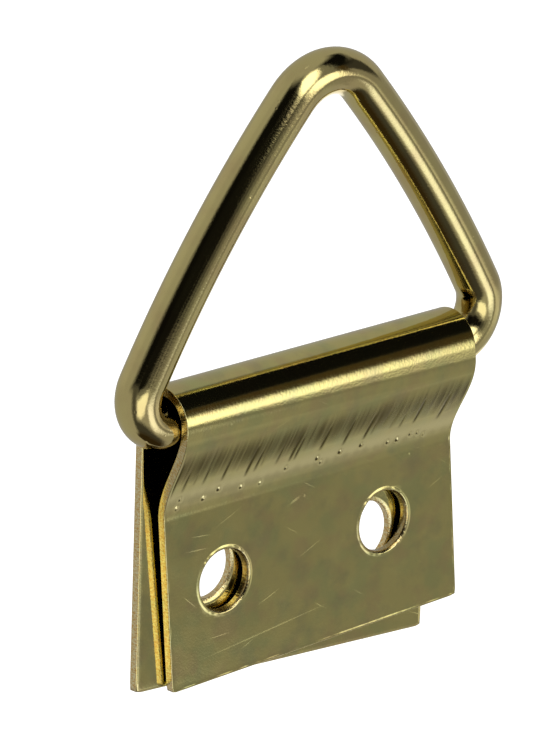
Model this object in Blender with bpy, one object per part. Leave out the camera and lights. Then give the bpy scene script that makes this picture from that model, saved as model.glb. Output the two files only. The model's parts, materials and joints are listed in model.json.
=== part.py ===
"""Picture frame hanger: a triangular wire ring held in the knuckle of a folded two-hole strap.

The strap is one strip of sheet metal. It is folded over the ring's bar, so that its back leaf lies
on the picture frame and its front leaf comes down over it, set back by a joggle below the knuckle.
The strip was folded a little askew, so its two leaves lean opposite ways.

Units are metres, +Z is up and -Y is the front. The origin is on the back leaf's outer face, midway
between its two screw holes. The ring turns about its bar, which runs along X.
"""

import math

import bmesh
import bpy
import numpy as np
from mathutils import Matrix, Vector

MM = 0.001

# Wire of the ring
WIRE_DIAMETER = 2.0 * MM
CORNER_RADIUS_LEFT = 1.45 * MM
CORNER_RADIUS_RIGHT = 1.8 * MM
APEX_RADIUS = 2.6 * MM
CORNER_ENTRY_LEFT = 0.2 * MM
CORNER_ENTRY_RIGHT = 0.32 * MM
WIRE_END_GAP = 0.3 * MM
BASE_ANGLE = math.radians(54.75)
LEG_CURVE_LEFT = math.radians(13.4)
LEG_CURVE_RIGHT = math.radians(10.5)
RING_LEAN = math.radians(4.4)

# Sheet strap
SHEET = 0.4 * MM
BORE_CLEARANCE = 0.09 * MM
BAR_DROP = 0.25 * MM
STRAP_WIDTH = 16.4 * MM
STRAP_OFFSET = 0.36 * MM
STRAP_SKEW = math.radians(3.2)
FRONT_LEAF_LENGTH = 12.2 * MM
FRONT_END_SLANT = math.radians(1.3)
BACK_LEAF_OVERHANG = 0.45 * MM

# Joggle of the front leaf, below the knuckle
JOGGLE_START_LEFT = 0.0 * MM
JOGGLE_START_RIGHT = 0.45 * MM
JOGGLE_END = 4.75 * MM
LEAF_GAP_TOP = 0.25 * MM
LEAF_GAP_BOTTOM = 0.1 * MM

# Screw holes, two through each leaf
HOLE_DIAMETER = 2.7 * MM
HOLE_SPACING = 9.15 * MM
HOLE_LEVEL = 7.77 * MM
HOLE_OFFSET_FRONT = -0.45 * MM
HOLE_OFFSET_BACK = 0.19 * MM
CUTTER_OVERRUN = 1.0 * MM

# Facets
ARC_STEPS = 12
LEG_STEPS = 8
WIRE_BEVEL_RESOLUTION = 8
KNUCKLE_STEPS = 24
JOGGLE_STEPS = 16
HOLE_SIDES = 40
SMOOTH_ANGLE = math.radians(30.0)

# Worked out from the sizes above
BACK_LEAF_LENGTH = FRONT_LEAF_LENGTH + BACK_LEAF_OVERHANG
WIRE_RADIUS = WIRE_DIAMETER / 2
BORE_RADIUS = WIRE_RADIUS + BORE_CLEARANCE
KNUCKLE_RADIUS = BORE_RADIUS + SHEET
FOLD_RADIUS = BORE_RADIUS + SHEET / 2
QUARTER_ARC = FOLD_RADIUS * math.pi / 2
QUARTER_ALONG = QUARTER_ARC / math.cos(STRAP_SKEW)


def clear_scene():
    """Remove every object that the file opened with."""
    for item in list(bpy.data.objects):
        bpy.data.objects.remove(item, do_unlink=True)


def new_collection(name):
    """Add a collection to the scene."""
    group = bpy.data.collections.new(name)
    bpy.context.scene.collection.children.link(group)
    return group


def plated_metal(name, colour, roughness):
    """Give a Principled metal of one colour and roughness."""
    material = bpy.data.materials.new(name)
    material.use_nodes = True
    shader = material.node_tree.nodes["Principled BSDF"]
    shader.inputs["Base Color"].default_value = (*colour, 1.0)
    shader.inputs["Metallic"].default_value = 1.0
    shader.inputs["Roughness"].default_value = roughness
    return material


def shade(mesh):
    """Shade smooth, with the sheet's cut edges kept sharp."""
    mesh.shade_smooth()
    mesh.set_sharp_from_angle(angle=SMOOTH_ANGLE)


def strip_to_bar(across, along):
    """Turn a place on the flat strip into its place along the bar and its run over the fold.

    The strip's long axis crosses the bar at the skew angle. The run is zero on the knuckle's crown,
    negative towards the front leaf's end and positive towards the back leaf's.
    """
    x = STRAP_OFFSET + across * np.cos(STRAP_SKEW) - along * np.sin(STRAP_SKEW)
    run = across * np.sin(STRAP_SKEW) + along * np.cos(STRAP_SKEW)
    return x, run


def joggle_shape(x, level):
    """Give the front leaf's middle surface: its depth behind the knuckle's centre at each level.

    Levels are counted down from the knuckle's centre. A smooth step carries the sheet from the
    knuckle's front to the leaf, and starts a little lower at the strap's right edge than at its left.
    """
    side = x / STRAP_WIDTH + 0.5
    start = JOGGLE_START_LEFT + (JOGGLE_START_RIGHT - JOGGLE_START_LEFT) * side
    step = np.clip((level - start) / (JOGGLE_END - start), 0.0, 1.0)
    ease = step * step * (3.0 - 2.0 * step)
    beyond = np.maximum(level - JOGGLE_END, 0.0) / (FRONT_LEAF_LENGTH - JOGGLE_END)
    gap = LEAF_GAP_TOP + (LEAF_GAP_BOTTOM - LEAF_GAP_TOP) * beyond
    leaf = FOLD_RADIUS - SHEET - gap
    return -FOLD_RADIUS + (leaf + FOLD_RADIUS) * ease


def joggle_run():
    """Give the sheet's own length from the knuckle's centre down to the joggle's end."""
    levels = np.linspace(0.0, JOGGLE_END, JOGGLE_STEPS + 1)
    depths = joggle_shape(0.0, levels)
    return float(np.hypot(np.diff(levels), np.diff(depths)).sum())


def fold(x, run, out):
    """Fold flat places over the bar: front leaf, joggle, half a turn of knuckle and back leaf.

    A place is given by x along the bar, its run over the fold, and how far out it lies from the
    sheet's middle. The result is in the knuckle's own frame, with its centre at zero.
    """
    turn = np.clip(run, -QUARTER_ARC, QUARTER_ARC) / FOLD_RADIUS
    y = FOLD_RADIUS * np.sin(turn)
    z = FOLD_RADIUS * np.cos(turn)
    normal_y, normal_z = np.sin(turn), np.cos(turn)

    back = run > QUARTER_ARC
    z = np.where(back, QUARTER_ARC - run, z)
    normal_z = np.where(back, 0.0, normal_z)

    front = run < -QUARTER_ARC
    past = np.maximum(-run - QUARTER_ARC, 0.0)
    joggle = joggle_run()
    level = np.where(past < joggle, past * JOGGLE_END / joggle, JOGGLE_END + past - joggle)
    near = SHEET / 4
    slope = (joggle_shape(x, level + near) - joggle_shape(x, level - near)) / (2 * near)
    length = np.sqrt(1.0 + slope * slope)
    y = np.where(front, joggle_shape(x, level), y)
    z = np.where(front, -level, z)
    normal_y = np.where(front, -1.0 / length, normal_y)
    normal_z = np.where(front, -slope / length, normal_z)
    return np.stack([x, y + out * normal_y, z + out * normal_z], axis=-1)


def knuckle_centre():
    """Place the knuckle's centre, so that the back face's hole line passes through the origin."""
    x, run = strip_to_bar(HOLE_OFFSET_BACK, QUARTER_ALONG + HOLE_LEVEL)
    behind = fold(x, run, SHEET / 2)
    return Vector((-behind[0], -behind[1], -behind[2]))


def bar_centre():
    """Place the ring's bar, which lies a little below the knuckle's centre."""
    centre = knuckle_centre()
    return Vector((centre.x, centre.y, centre.z - BAR_DROP))


def add_block(name, size, centre, group):
    """Add a box of one size, centred on a place."""
    shape = bmesh.new()
    bmesh.ops.create_cube(shape, size=1.0)
    bmesh.ops.scale(shape, vec=size, verts=shape.verts)
    bmesh.ops.translate(shape, vec=centre, verts=shape.verts)
    mesh = bpy.data.meshes.new(name)
    shape.to_mesh(mesh)
    shape.free()
    block = bpy.data.objects.new(name, mesh)
    group.objects.link(block)
    return block


def add_punch(name, centre, group):
    """Add one screw hole's cutter, through the flat strip."""
    shape = bmesh.new()
    bmesh.ops.create_cone(
        shape,
        cap_ends=True,
        segments=HOLE_SIDES,
        radius1=HOLE_DIAMETER / 2,
        radius2=HOLE_DIAMETER / 2,
        depth=SHEET + 2 * CUTTER_OVERRUN,
    )
    mesh = bpy.data.meshes.new(name)
    shape.to_mesh(mesh)
    shape.free()
    punch = bpy.data.objects.new(name, mesh)
    punch.location = centre
    punch.hide_render = True
    punch.display_type = "WIRE"
    group.objects.link(punch)
    return punch


def front_along(level):
    """Give the place along the flat strip that comes to a level of the front leaf.

    The level is below the knuckle's centre and past the joggle, which takes up more sheet than its
    own height.
    """
    slack = joggle_run() - JOGGLE_END
    return -(QUARTER_ALONG + level + slack / math.cos(STRAP_SKEW))


def add_flat_strip(parts, cutters):
    """Make the flat strip with its four holes: X across it, Y along it towards the back end.

    The front end is cut a little out of square, so that its right corner reaches lower.
    """
    front_end = front_along(FRONT_LEAF_LENGTH)
    back_end = QUARTER_ALONG + BACK_LEAF_LENGTH
    size = (STRAP_WIDTH, back_end - front_end, SHEET)
    centre = (0.0, (front_end + back_end) / 2, 0.0)
    strip = add_block("flat_strip", size, centre, parts)
    for corner in strip.data.vertices:
        if corner.co.y < 0.0:
            corner.co.y -= corner.co.x * math.tan(FRONT_END_SLANT)
    rows = {
        "front": (HOLE_OFFSET_FRONT, front_along(HOLE_LEVEL)),
        "back": (HOLE_OFFSET_BACK, QUARTER_ALONG + HOLE_LEVEL),
    }
    for leaf, (offset, along) in rows.items():
        for side in (-1, 1):
            place = (offset + side * HOLE_SPACING / 2, along, 0.0)
            punch = add_punch(f"{leaf}_hole_cutter", place, cutters)
            cut = strip.modifiers.new(punch.name, "BOOLEAN")
            cut.operation = "DIFFERENCE"
            cut.solver = "EXACT"
            cut.object = punch
    return strip


def bend_lines():
    """List the runs at which the flat strip is creased to follow the knuckle and the joggle."""
    knuckle = np.linspace(-QUARTER_ARC, QUARTER_ARC, KNUCKLE_STEPS + 1)
    joggle = -QUARTER_ARC - np.linspace(0.0, joggle_run(), JOGGLE_STEPS + 1)[1:]
    return np.concatenate([knuckle, joggle])


def add_folded_strap(parts, cutters):
    """Crease the punched strip along its bend lines and fold it over the bar."""
    strip = add_flat_strip(parts, cutters)
    bpy.context.view_layer.update()
    evaluated = strip.evaluated_get(bpy.context.evaluated_depsgraph_get())
    mesh = bpy.data.meshes.new_from_object(evaluated)
    mesh.name = "folded_strap"
    bpy.data.objects.remove(strip, do_unlink=True)

    shape = bmesh.new()
    shape.from_mesh(mesh)
    across_bend = Vector((math.sin(STRAP_SKEW), math.cos(STRAP_SKEW), 0.0))
    for run in bend_lines():
        everything = shape.verts[:] + shape.edges[:] + shape.faces[:]
        bmesh.ops.bisect_plane(
            shape, geom=everything, dist=SHEET / 1000, plane_co=across_bend * run, plane_no=across_bend
        )
    shape.to_mesh(mesh)
    shape.free()

    flat = np.empty(len(mesh.vertices) * 3)
    mesh.vertices.foreach_get("co", flat)
    across, along, out = flat.reshape(-1, 3).T
    x, run = strip_to_bar(across, along)
    mesh.vertices.foreach_set("co", fold(x, run, out).ravel())
    mesh.update()
    shade(mesh)

    strap = bpy.data.objects.new("folded_strap", mesh)
    strap.location = knuckle_centre()
    mesh.materials.append(plated_metal("brass_plated_sheet", (0.62, 0.52, 0.28), 0.22))
    parts.objects.link(strap)
    return strap


def arc(start, heading, radius, turn, steps):
    """Follow a clockwise arc. Give its points after the first, and the heading at its end."""
    centre = start + radius * np.array([math.sin(heading), -math.cos(heading)])
    headings = heading - np.linspace(0.0, turn, steps + 1)[1:]
    points = centre + radius * np.stack([-np.sin(headings), np.cos(headings)], axis=1)
    return points, heading - turn


def ring_bends(left_leg, right_leg):
    """List the ring's bends from the bar's left end to its right: radius, turn and facets."""
    left_start = BASE_ANGLE + LEG_CURVE_LEFT / 2
    right_end = BASE_ANGLE + LEG_CURVE_RIGHT / 2
    apex_turn = 2 * BASE_ANGLE - LEG_CURVE_LEFT / 2 - LEG_CURVE_RIGHT / 2
    return [
        (CORNER_RADIUS_LEFT, math.pi - left_start, ARC_STEPS),
        (left_leg / LEG_CURVE_LEFT, LEG_CURVE_LEFT, LEG_STEPS),
        (APEX_RADIUS, apex_turn, ARC_STEPS),
        (right_leg / LEG_CURVE_RIGHT, LEG_CURVE_RIGHT, LEG_STEPS),
        (CORNER_RADIUS_RIGHT, math.pi - right_end, ARC_STEPS),
    ]


def ring_round(bar_left, left_leg, right_leg):
    """Walk the bends from the bar's left end over the apex and back down to the bar's line."""
    points = [np.array([[bar_left, 0.0]])]
    heading = math.pi
    for radius, turn, steps in ring_bends(left_leg, right_leg):
        bend, heading = arc(points[-1][-1], heading, radius, turn, steps)
        points.append(bend)
    return np.vstack(points)


def ring_path():
    """Give the wire's middle line: half the bar, the five bends, and the bar's other half.

    The bar runs from one end of the knuckle to the other, less what each corner's bend enters it.
    The skew sends the knuckle furthest left at its back and furthest right at its front.
    Where the round ends depends linearly on the legs' lengths, so two equations close the ring.
    """
    half_width = STRAP_WIDTH / 2 / math.cos(STRAP_SKEW)
    back_middle, _ = strip_to_bar(0.0, QUARTER_ALONG)
    front_middle, _ = strip_to_bar(0.0, -QUARTER_ALONG)
    bar_left = back_middle - half_width + CORNER_ENTRY_LEFT
    bar_right = front_middle + half_width - CORNER_ENTRY_RIGHT

    bare = ring_round(bar_left, 0.0, 0.0)[-1]
    unit = WIRE_DIAMETER
    left_pull = (ring_round(bar_left, unit, 0.0)[-1] - bare) / unit
    right_pull = (ring_round(bar_left, 0.0, unit)[-1] - bare) / unit
    target = np.array([bar_right, 0.0])
    legs = np.linalg.solve(np.stack([left_pull, right_pull], axis=1), target - bare)
    round_points = ring_round(bar_left, *legs)

    seam = (bar_left + bar_right) / 2
    first = np.array([[seam - WIRE_END_GAP / 2, 0.0]])
    last = np.array([[seam + WIRE_END_GAP / 2, 0.0]])
    return np.vstack([first, round_points, last])


def add_triangle_ring(parts):
    """Bend the round wire into the ring, with its origin on the bar's axis."""
    path = ring_path()
    curve = bpy.data.curves.new("triangle_ring", "CURVE")
    curve.dimensions = "3D"
    curve.bevel_depth = WIRE_RADIUS
    curve.bevel_resolution = WIRE_BEVEL_RESOLUTION
    curve.use_fill_caps = True
    spline = curve.splines.new("POLY")
    spline.points.add(len(path) - 1)
    spline.use_smooth = True
    for point, (x, z) in zip(spline.points, path):
        point.co = (x, 0.0, z, 1.0)
    curve.materials.append(plated_metal("brass_plated_wire", (0.66, 0.55, 0.30), 0.18))
    ring = bpy.data.objects.new("triangle_ring", curve)
    ring.matrix_world = Matrix.Translation(bar_centre()) @ Matrix.Rotation(RING_LEAN, 4, "X")
    parts.objects.link(ring)
    return ring


def main():
    clear_scene()
    parts = new_collection("picture_frame_hanger")
    cutters = new_collection("cutters")
    add_folded_strap(parts, cutters)
    add_triangle_ring(parts)


main()
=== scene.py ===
"""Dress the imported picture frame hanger: fine plated surfaces, a small studio and the camera.

The strap is one strip of sheet folded over the ring's bar, and the ring is one bent wire. Both are
worked out here from the same sizes as the solids, with finer facets, rounded cut edges and forming
marks. Units are metres, +Z is up and -Y is the front.
"""

import json
import math

import bpy
import numpy as np
from bpy.props import FloatProperty, FloatVectorProperty, PointerProperty
from mathutils import Matrix, Vector


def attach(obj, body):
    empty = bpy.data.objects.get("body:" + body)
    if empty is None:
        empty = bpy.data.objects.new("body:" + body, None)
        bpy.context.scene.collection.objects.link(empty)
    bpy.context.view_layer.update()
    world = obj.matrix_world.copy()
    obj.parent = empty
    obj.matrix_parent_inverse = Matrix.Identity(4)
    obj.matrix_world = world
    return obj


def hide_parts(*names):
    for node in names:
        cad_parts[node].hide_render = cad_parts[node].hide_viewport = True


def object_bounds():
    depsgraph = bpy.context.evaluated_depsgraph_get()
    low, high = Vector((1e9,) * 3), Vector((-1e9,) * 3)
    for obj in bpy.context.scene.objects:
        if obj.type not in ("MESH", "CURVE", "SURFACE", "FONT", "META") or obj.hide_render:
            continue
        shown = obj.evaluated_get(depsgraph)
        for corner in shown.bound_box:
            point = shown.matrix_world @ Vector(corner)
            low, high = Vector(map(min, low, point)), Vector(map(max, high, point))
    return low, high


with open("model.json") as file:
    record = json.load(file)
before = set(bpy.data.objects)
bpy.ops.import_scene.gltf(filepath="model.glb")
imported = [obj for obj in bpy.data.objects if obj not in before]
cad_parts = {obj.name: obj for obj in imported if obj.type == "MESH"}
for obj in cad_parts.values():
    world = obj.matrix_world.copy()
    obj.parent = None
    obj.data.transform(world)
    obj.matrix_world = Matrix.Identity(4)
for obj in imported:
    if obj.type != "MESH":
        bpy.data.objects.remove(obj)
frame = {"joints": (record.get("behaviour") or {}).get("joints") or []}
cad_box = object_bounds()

bl_info = {
    "name": "Picture Frame Hanger",
    "version": (1, 0, 0),
    "blender": (4, 5, 0),
    "location": "View3D > Sidebar > Hanger",
    "description": "Builds a brass-plated triangle-ring hanger and its small studio",
    "category": "Add Mesh",
}

MM = 0.001
BAR_AXIS = Vector(frame["joints"][0]["pos_m"])


def linear(code):
    """Turn an sRGB hex colour into linear red, green and blue."""
    parts = np.array([int(code[i:i + 2], 16) for i in (1, 3, 5)]) / 255
    return tuple(np.where(parts <= 0.04045, parts / 12.92, ((parts + 0.055) / 1.055) ** 2.4).tolist())


def length(name, about, millimetres):
    """Describe a size that a user may change, given in millimetres."""
    return FloatProperty(name=name, description=about, default=millimetres * MM, unit="LENGTH", precision=5)


def angle(name, about, degrees):
    """Describe an angle that a user may change, given in degrees."""
    return FloatProperty(name=name, description=about, default=math.radians(degrees), unit="ROTATION")


def colour(name, about, code):
    """Describe a colour that a user may change, given as sRGB hex."""
    return FloatVectorProperty(
        name=name, description=about, default=linear(code), subtype="COLOR", size=3, min=0.0, max=1.0
    )


def share(name, about, value):
    """Describe a share from nought to one that a user may change."""
    return FloatProperty(
        name=name, description=about, default=value, subtype="FACTOR", min=0.0, max=1.0
    )


class StrapSizes(bpy.types.PropertyGroup):
    """Sizes of the folded strap."""

    sheet: length("Sheet", "Thickness of the sheet", 0.4)
    clearance: length("Bore clearance", "Room round the bar inside the knuckle", 0.09)
    bar_drop: length("Bar drop", "How far the bar lies below the knuckle's centre", 0.25)
    width: length("Width", "Width of the strip", 16.4)
    offset: length("Offset", "How far the strip's middle lies to the right of the bar's", 0.36)
    skew: angle("Skew", "How far askew the strip was folded", 3.2)
    front_leaf: length("Front leaf", "Length of the front leaf below the knuckle's centre", 12.2)
    front_slant: angle("Front end slant", "How far out of square the front leaf's end is cut", 1.3)
    overhang: length("Back overhang", "How much longer the back leaf is", 0.45)
    joggle_left: length("Joggle start left", "Level of the joggle's start at the left edge", 0.0)
    joggle_right: length("Joggle start right", "Level of the joggle's start at the right edge", 0.45)
    joggle_end: length("Joggle end", "Level at which the joggle meets the flat leaf", 4.75)
    gap_top: length("Gap at joggle", "Gap between the leaves at the joggle's end", 0.25)
    gap_bottom: length("Gap at bottom", "Gap between the leaves at the front leaf's end", 0.1)
    hole: length("Hole", "Diameter of the screw holes", 2.7)
    spacing: length("Hole spacing", "Distance between the two holes of a leaf", 9.15)
    hole_level: length("Hole level", "Distance of the holes below the knuckle's centre", 7.77)
    hole_front: length("Front hole offset", "Offset of the front holes from the strip's middle", -0.45)
    hole_back: length("Back hole offset", "Offset of the back holes from the strip's middle", 0.19)
    roll_over: length("Rolled edge", "Radius that shearing leaves on the outer edges", 0.03)
    burr: length("Inner edge", "Radius left on the edges between the leaves", 0.04)
    hole_roll_over: length("Rolled hole edge", "Radius that punching leaves round the holes", 0.12)
    lip: length("Lip", "Height of the ragged lip that cutting raises along the front leaf's edges", 0.007)
    hole_lip: length("Hole lip", "Height of the ragged lip round the front holes", 0.016)
    lip_width: length("Lip width", "Width of the ragged lip", 0.12)
    hole_margin: length("Hole margin", "Sheet between a hole's lip and the square block round it", 0.16)
    mark_depth: length("Press mark depth", "Depth of the deepest press mark on the joggle", 0.014)
    mark_width: length("Press mark width", "Width of a press mark", 0.17)
    mark_lean: angle("Press mark lean", "How far the marks lean to the right going up", 4.0)
    burr_height: length("Burr height", "Height of the tallest burr below the marks", 0.07)
    burr_width: length("Burr width", "Width of a burr", 0.2)
    ripple: length("Ripple", "Height of the low ripples among the marks", 0.003)


class RingSizes(bpy.types.PropertyGroup):
    """Sizes of the wire ring."""

    wire: length("Wire", "Diameter of the wire", 2.0)
    corner_left: length("Left corner", "Bend radius of the left corner", 1.45)
    corner_right: length("Right corner", "Bend radius of the right corner", 1.8)
    apex: length("Apex", "Bend radius of the apex", 2.6)
    entry_left: length("Left entry", "How far the left corner's bend enters the knuckle", 0.2)
    entry_right: length("Right entry", "How far the right corner's bend enters the knuckle", 0.32)
    end_gap: length("End gap", "Gap between the wire's two ends, inside the knuckle", 0.3)
    end_round: length("End rounding", "Radius on the wire's two ends", 0.2)
    base: angle("Base angle", "Angle of the legs at their middles to the bar", 54.75)
    curve_left: angle("Left leg curve", "How far the left leg turns over its length", 13.4)
    curve_right: angle("Right leg curve", "How far the right leg turns over its length", 10.5)
    lean: angle("Lean", "How far the ring leans to the front at rest", 4.4)


class PlatingLooks(bpy.types.PropertyGroup):
    """Colours and gloss of the plating."""

    sheet_colour: colour("Sheet", "Bright brass plating on pressed sheet", "#DCCF86")
    sheet_green: colour("Green stain", "Where the plating has a green cast", "#C1C484")
    sheet_brown: colour("Brown stain", "Where the plating has a brown cast", "#D3BA84")
    sheet_grey: colour("Grey stain", "Where the plating is dull and grey", "#B1AC80")
    # The torn cut edges' colour follows their relief: a painted highlight on the raised tears and painted
    # shade, a deeper copper, in the hollows
    edge_tear_highlight: colour("Edge, bright", "Bright plating on the burrs of the cut edges", "#FFF4C0")
    edge_hollow_shade: colour("Edge, deep", "Copper cast in the hollows of the cut edges", "#E6BC70")
    # Burnished by the press at the joggle's lower bend, and paler than the plating as a painted sheen
    sheet_burnish_and_sheen: colour("Burnish and sheen", "Where the press has burnished the plating", "#F2E4A4")
    # Painted shade: dark olive laid in the press marks, on the front holes' walls, on the knuckle's cut
    # ends and on the joggle's cut edges, where shade falls
    sheet_painted_shade: colour("Painted shade", "Where scraped plating holds dark grease", "#6A5E28")
    wire_colour: colour("Wire", "Bright brass plating on drawn wire", "#DDCE8B")
    wire_stain: colour("Wire stain", "Where the wire's plating is browner", "#D2BC83")
    sheet_roughness: share("Sheet roughness", "Roughness of the sheet's plating", 0.07)
    wire_roughness: share("Wire roughness", "Roughness of the wire's plating", 0.07)


class StageSettings(bpy.types.PropertyGroup):
    """Camera, floor and lamps."""

    azimuth: angle("Azimuth", "Camera's angle round the object, from the front towards the right", -41.556)
    elevation: angle("Elevation", "Camera's angle above the horizon", 17.36)
    roll: angle("Roll", "Camera's turn about its own axis", -0.702)
    lens: FloatProperty(
        name="Lens", description="Focal length for a 36 mm long side", default=341.4, unit="CAMERA"
    )
    distance: length("Distance", "From the camera to the point that it aims at", 300.0)
    aim_x: length("Aim across", "Where the camera aims, across from the bar's middle", -1.45)
    aim_z: length("Aim up", "Where the camera aims, up from the bar's middle", 0.853)
    floor: colour("Floor", "Pale painted floor", "#EDECEA")
    floor_drop: length("Floor drop", "From the strap's lowest edge to the floor", 8.0)
    fill: share("Fill", "Level of the even light all round", 0.35)
    lamp_size: length("Lamp size", "Diameter of the soft lamp", 400.0)
    lamp_distance: length("Lamp distance", "From the bar to the soft lamp", 500.0)
    lamp_power: FloatProperty(
        name="Lamp power", description="Power of the soft lamp", default=1.2, unit="POWER"
    )


def smooth(step):
    """Smooth step of a share from nought to one: three squares less two cubes."""
    step = np.clip(step, 0.0, 1.0)
    return step * step * (3.0 - 2.0 * step)


def share_of_way(value, start, end):
    """How far a value is from start to end, kept between nought and one."""
    return np.clip((value - start) / (end - start), 0.0, 1.0)


def strip_to_bar(strap, across, along):
    """Turn a place on the flat strip into x along the bar and its run over the fold.

    The strip's long axis crosses the bar at the skew angle, so both are the strip's own coordinates
    turned by it. The run is zero on the crown and grows towards the back leaf.
    """
    x = strap.offset + across * np.cos(strap.skew) - along * np.sin(strap.skew)
    run = across * np.sin(strap.skew) + along * np.cos(strap.skew)
    return x, run


def fold_radius(strap, wire):
    """Radius of the sheet's middle round the knuckle."""
    return wire / 2 + strap.clearance + strap.sheet / 2


def joggle_shape(strap, radius, x, level):
    """Depth of the front leaf's middle behind the knuckle's centre, at each level below it.

    It goes from the knuckle's front to the leaf by a smooth step, which starts lower at the right
    edge than at the left. Below the joggle the gap between the leaves changes by a straight line.
    """
    side = x / strap.width + 0.5
    start = strap.joggle_left + (strap.joggle_right - strap.joggle_left) * side
    beyond = np.maximum(level - strap.joggle_end, 0.0) / (strap.front_leaf - strap.joggle_end)
    gap = strap.gap_top + (strap.gap_bottom - strap.gap_top) * beyond
    leaf = radius - strap.sheet - gap
    return -radius + (leaf + radius) * smooth((level - start) / (strap.joggle_end - start))


JOGGLE_STEPS = 16


def joggle_run(strap, radius):
    """The sheet's own length from the knuckle's centre down to the joggle's end."""
    levels = np.linspace(0.0, strap.joggle_end, JOGGLE_STEPS + 1)
    depths = joggle_shape(strap, radius, 0.0, levels)
    return float(np.hypot(np.diff(levels), np.diff(depths)).sum())


def down_joggle(strap, radius, flat):
    """How far down the joggle flat places lie: nought at the knuckle's front and one at the end."""
    _, run = strip_to_bar(strap, flat[:, 0], flat[:, 1])
    return (-run - radius * math.pi / 2) / joggle_run(strap, radius)


def fold(strap, radius, x, run, out):
    """Fold flat places over the bar, in the knuckle's own frame.

    Within a quarter arc either side of the crown a place goes round the knuckle's circle. Behind it
    the sheet falls straight down. Before it the sheet follows the joggle's shape, and out is laid
    off square to that shape.
    """
    quarter = radius * math.pi / 2
    turn = np.clip(run, -quarter, quarter) / radius
    y, z = radius * np.sin(turn), radius * np.cos(turn)
    normal_y, normal_z = np.sin(turn), np.cos(turn)

    back = run > quarter
    z = np.where(back, quarter - run, z)
    normal_z = np.where(back, 0.0, normal_z)

    front = run < -quarter
    past = np.maximum(-run - quarter, 0.0)
    joggle = joggle_run(strap, radius)
    level = np.where(past < joggle, past * strap.joggle_end / joggle, strap.joggle_end + past - joggle)
    near = strap.sheet / 4
    rise = joggle_shape(strap, radius, x, level + near) - joggle_shape(strap, radius, x, level - near)
    slope = rise / (2 * near)
    stretch = np.sqrt(1.0 + slope * slope)
    y = np.where(front, joggle_shape(strap, radius, x, level), y)
    z = np.where(front, -level, z)
    normal_y = np.where(front, -1.0 / stretch, normal_y)
    normal_z = np.where(front, -slope / stretch, normal_z)
    return np.stack([x, y + out * normal_y, z + out * normal_z], axis=-1)


def knuckle_centre(strap):
    """The knuckle's centre, a bar's drop above the bar's axis."""
    return np.array(BAR_AXIS) + np.array([0.0, 0.0, strap.bar_drop])


def new_mesh(name, points, face_groups):
    """Make a mesh object from points and from arrays of faces, one array for each number of sides."""
    mesh = bpy.data.meshes.new(name)
    mesh.vertices.add(len(points))
    mesh.vertices.foreach_set("co", np.ascontiguousarray(points, dtype=np.float32).ravel())
    corners = np.concatenate([faces.ravel() for faces in face_groups])
    sides = np.concatenate([np.full(len(faces), faces.shape[1]) for faces in face_groups])
    starts = np.concatenate([[0], np.cumsum(sides)[:-1]])
    mesh.loops.add(len(corners))
    mesh.loops.foreach_set("vertex_index", corners.astype(np.int32))
    mesh.polygons.add(len(sides))
    mesh.polygons.foreach_set("loop_start", starts.astype(np.int32))
    mesh.update(calc_edges=True)
    if mesh.validate():
        raise RuntimeError(f"{name} has faces that Blender had to mend")
    mesh.shade_smooth()
    item = bpy.data.objects.new(name, mesh)
    bpy.context.scene.collection.objects.link(item)
    return item


def closed_grid(shape):
    """Numbers of a grid's points, those of their neighbours along rows that close, and its quads."""
    numbers = np.arange(shape[0] * shape[1]).reshape(shape)
    beside = np.roll(numbers, -1, axis=1)
    quads = np.stack([numbers[:-1], numbers[1:], beside[1:], beside[:-1]], axis=-1)
    return numbers, beside, quads.reshape(-1, 4)


def store(item, name, values):
    """Keep one number or one vector for each vertex, for the material to read."""
    kind, key = ("FLOAT", "value") if values.ndim == 1 else ("FLOAT_VECTOR", "vector")
    attribute = item.data.attributes.new(name, kind, "POINT")
    attribute.data.foreach_set(key, np.ascontiguousarray(values, dtype=np.float32).ravel())


# The mesh: columns between the edges and the blocks round the holes, how many times finer they are
# at the press marks, rings round a hole, and points round each stretch of a cut edge
COLUMN_COUNTS = (12, 34, 30, 34, 12)
MARK_REFINEMENT = 5
HOLE_RINGS = 4
LIP_STEPS, ROLL_STEPS, WALL_STEPS, BURR_STEPS = 5, 8, 3, 3

# Levels on the joggle, from nought at its top to one at its end
MARKS_TOP_SHARE = 0.22
HEEL_SHARE, HEEL_WIDTH_SHARE = 0.765, 0.10
SHADED_TOP_SHARE, SHADED_FOOT_SHARE = 0.24, 0.62
EDGE_SHADE_SHARE, EDGE_UNSHADED_SHARE = 0.9, 1.3
LIP_FADE_SHARE = 0.8

# Painted shade: the streaks' number, the least between them, the grooves' contrast, and other places'
# shares
STREAKS, STREAK_SEED = 170, 3
BETWEEN_STREAKS = 0.60
GROOVE_SHADE = 1.7
FRONT_HOLE_SHADE, EDGE_SHADE, KNUCKLE_SHADE = 0.5, 0.3, 0.6

# Powers that blunt the sines along a groove and along the streaks
GROOVE_POWER, STREAK_POWER = 0.7, 0.8
# Metal pushed up beside a groove, as a share of its depth, and how many half widths aside
PUSHED_UP, PUSHED_ASIDE = 0.15, 2.0
# Ripples in the strip's width, coarse and fine, and the fine ones' share of height
RIPPLES, FINE_RIPPLES, FINE_RIPPLE_SHARE = 13.0, 29.0, 0.6
# The ragged lip: how often it is smoothed, its contrast, and how much of it is sunk in the sheet
LIP_SMOOTHINGS, LIP_CONTRAST, LIP_SUNK = 2, 1.7, 0.15

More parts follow.
